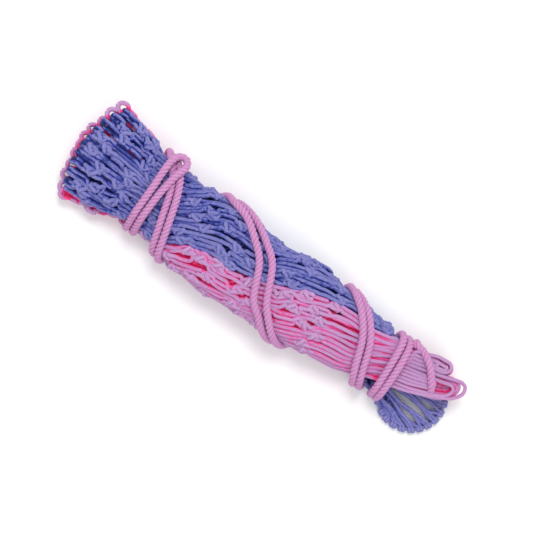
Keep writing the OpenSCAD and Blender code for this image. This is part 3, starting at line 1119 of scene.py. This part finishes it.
def make_cords():
    # The third colour is the painted shade in the cord's grooves.
    material = cord_material("pink_cord", (0.54, 0.27, 0.50), (0.56, 0.20, 0.46), (0.85, 0.07, 0.34))
    line_a, line_b = cord_a_line(), cord_b_line()
    first = laid_cord("drawcord_run_a", line_a, material)
    second = laid_cord("drawcord_run_b", line_b, material)
    bend_between(first, "bundle", "mouth_end", *MOUTH_BEND)
    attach(second, "bundle")
    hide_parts("drawcord_wrap_a", "drawcord_mouth_strand")
    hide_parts("drawcord_wrap_b", "drawcord_hitch_b", "drawcord_hitch_a")
    return line_a, line_b


def main():
    make_camera()
    cords = make_cords()
    make_floor()
    make_light()

    strands = Strands()
    for line in cords:
        strands.add(resample(line, int(length_of(line) / 3)), CORD_R, fixed=True)
    blue, pink = new_net(BLUE), new_net(PINK)
    loops, slots = loop_halves(), web_slots()
    for net, rows in ((blue, BLUE_ROWS), (pink, PINK_ROWS)):
        lay_knots(strands, net, rows)
        lay_legs(strands, net)
        lay_rims(strands, net)
    lay_tails(strands, pink, loops[:, 0], MOUTH_X, MOUTH_STEPS, PINK_EASING_X)
    lay_tails(strands, blue, slots, NECK_X, NECK_STEPS, BLUE_EASING_X)
    x = strands.settled(SETTLE_ROUNDS)
    for net, legs in ((blue, LOOSE_BLUE), (pink, LOOSE_PINK)):
        for where, bulge in legs:
            loosen(x, net, where, bulge)

    # Colours: bright at the outer surface, plain, then painted shade and painted deep shade between the
    # strands; the last number is the painted glow there.
    blue_twine = twine_material("blue_twine", (0.22, 0.212, 0.505), (0.125, 0.137, 0.43),
                                (0.028, 0.045, 0.32), (0.006, 0.009, 0.08), 0.03)
    pink_twine = twine_material("pink_twine", (0.51, 0.30, 0.55), (0.56, 0.23, 0.50),
                                (0.80, 0.09, 0.36), (0.78, 0.02, 0.13), 0.1)
    webs, wraps, normals = web_ends(slots)
    tips = loops[:, 1:]
    made, all_lines = [], []
    ends = {"blue": ["base_net_web"], "pink": ["mouth_loops_upper", "mouth_loops_lower"]}
    for net, colour, material, extras, right in (
            (blue, "blue", blue_twine, webs, ("base_end", BASE_BEND)),
            (pink, "pink", pink_twine, tips, ("mouth_end", MOUTH_BEND))):
        groups, rims, tails = drawn_lines(x, net, extras)
        for layer, sides in (("outer", 8), ("inner", 6)):
            folded, run = [groups[layer, "left"], rims[layer]], [groups[layer, "right"], tails[layer]]
            left, lines = twine_mesh(f"{colour}_net_left_{layer}", folded, sides, material)
            all_lines += lines
            far, lines = twine_mesh(f"{colour}_net_right_{layer}", run, sides, material)
            all_lines += lines
            made.append((left, colour, "fold_end", FOLD_BEND))
            made.append((far, colour, *right))
            if layer == "outer":
                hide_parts(f"{colour}_net_fold", *(["fold_rim_loops"] if colour == "pink" else []))
                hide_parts(f"{colour}_net_run", *ends[colour])
    skin = skin_of([x[chain] for chain in strands.chains])
    points = np.concatenate([line.reshape(-1, 3) for line in all_lines])
    maps = [height_map(points[inside(points)]) for inside in (in_web, past_neck)]
    for ob, colour, body, bend in made:
        mark_recess(ob, skin, maps)
        bend_between(ob, "bundle", body, *bend)

    hitches = tube_mesh("base_ring_wraps", [wraps], [normals], WRAP_TWINE_R, 8, WRAP_FLATNESS, blue_twine)
    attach(hitches, "base_end")
    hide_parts("base_ring_hitches")
    ring = make_ring()
    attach(ring, "base_end")
    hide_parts("base_ring")


RING_TURNS = 15
RING_STRAND_R, RING_STRAND_OFFSET = 1.1, 1.15


def make_ring():
    """The base ring's own cord, three strands laid round each other."""
    material = cord_material("ring_cord", (0.27, 0.26, 0.56), (0.2, 0.2, 0.48), (0.08, 0.08, 0.3))
    angle = np.linspace(0, 2 * math.pi, 161)
    at, out, _ = ring_frame(angle)
    lines, normals = [], []
    for k in range(3):
        phase = RING_TURNS * angle + k * 2 * math.pi / 3
        normal = np.cos(phase)[:, None] * out + np.sin(phase)[:, None] * np.array([0, 0, 1.0])
        lines.append(at + RING_STRAND_OFFSET * normal)
        normals.append(normal)
    lines = np.array(lines)
    first = carried(tangents(lines), np.array(normals)[:, 0])
    return tube_mesh("base_ring_core", [lines], [first], RING_STRAND_R, 8, material=material)


main()
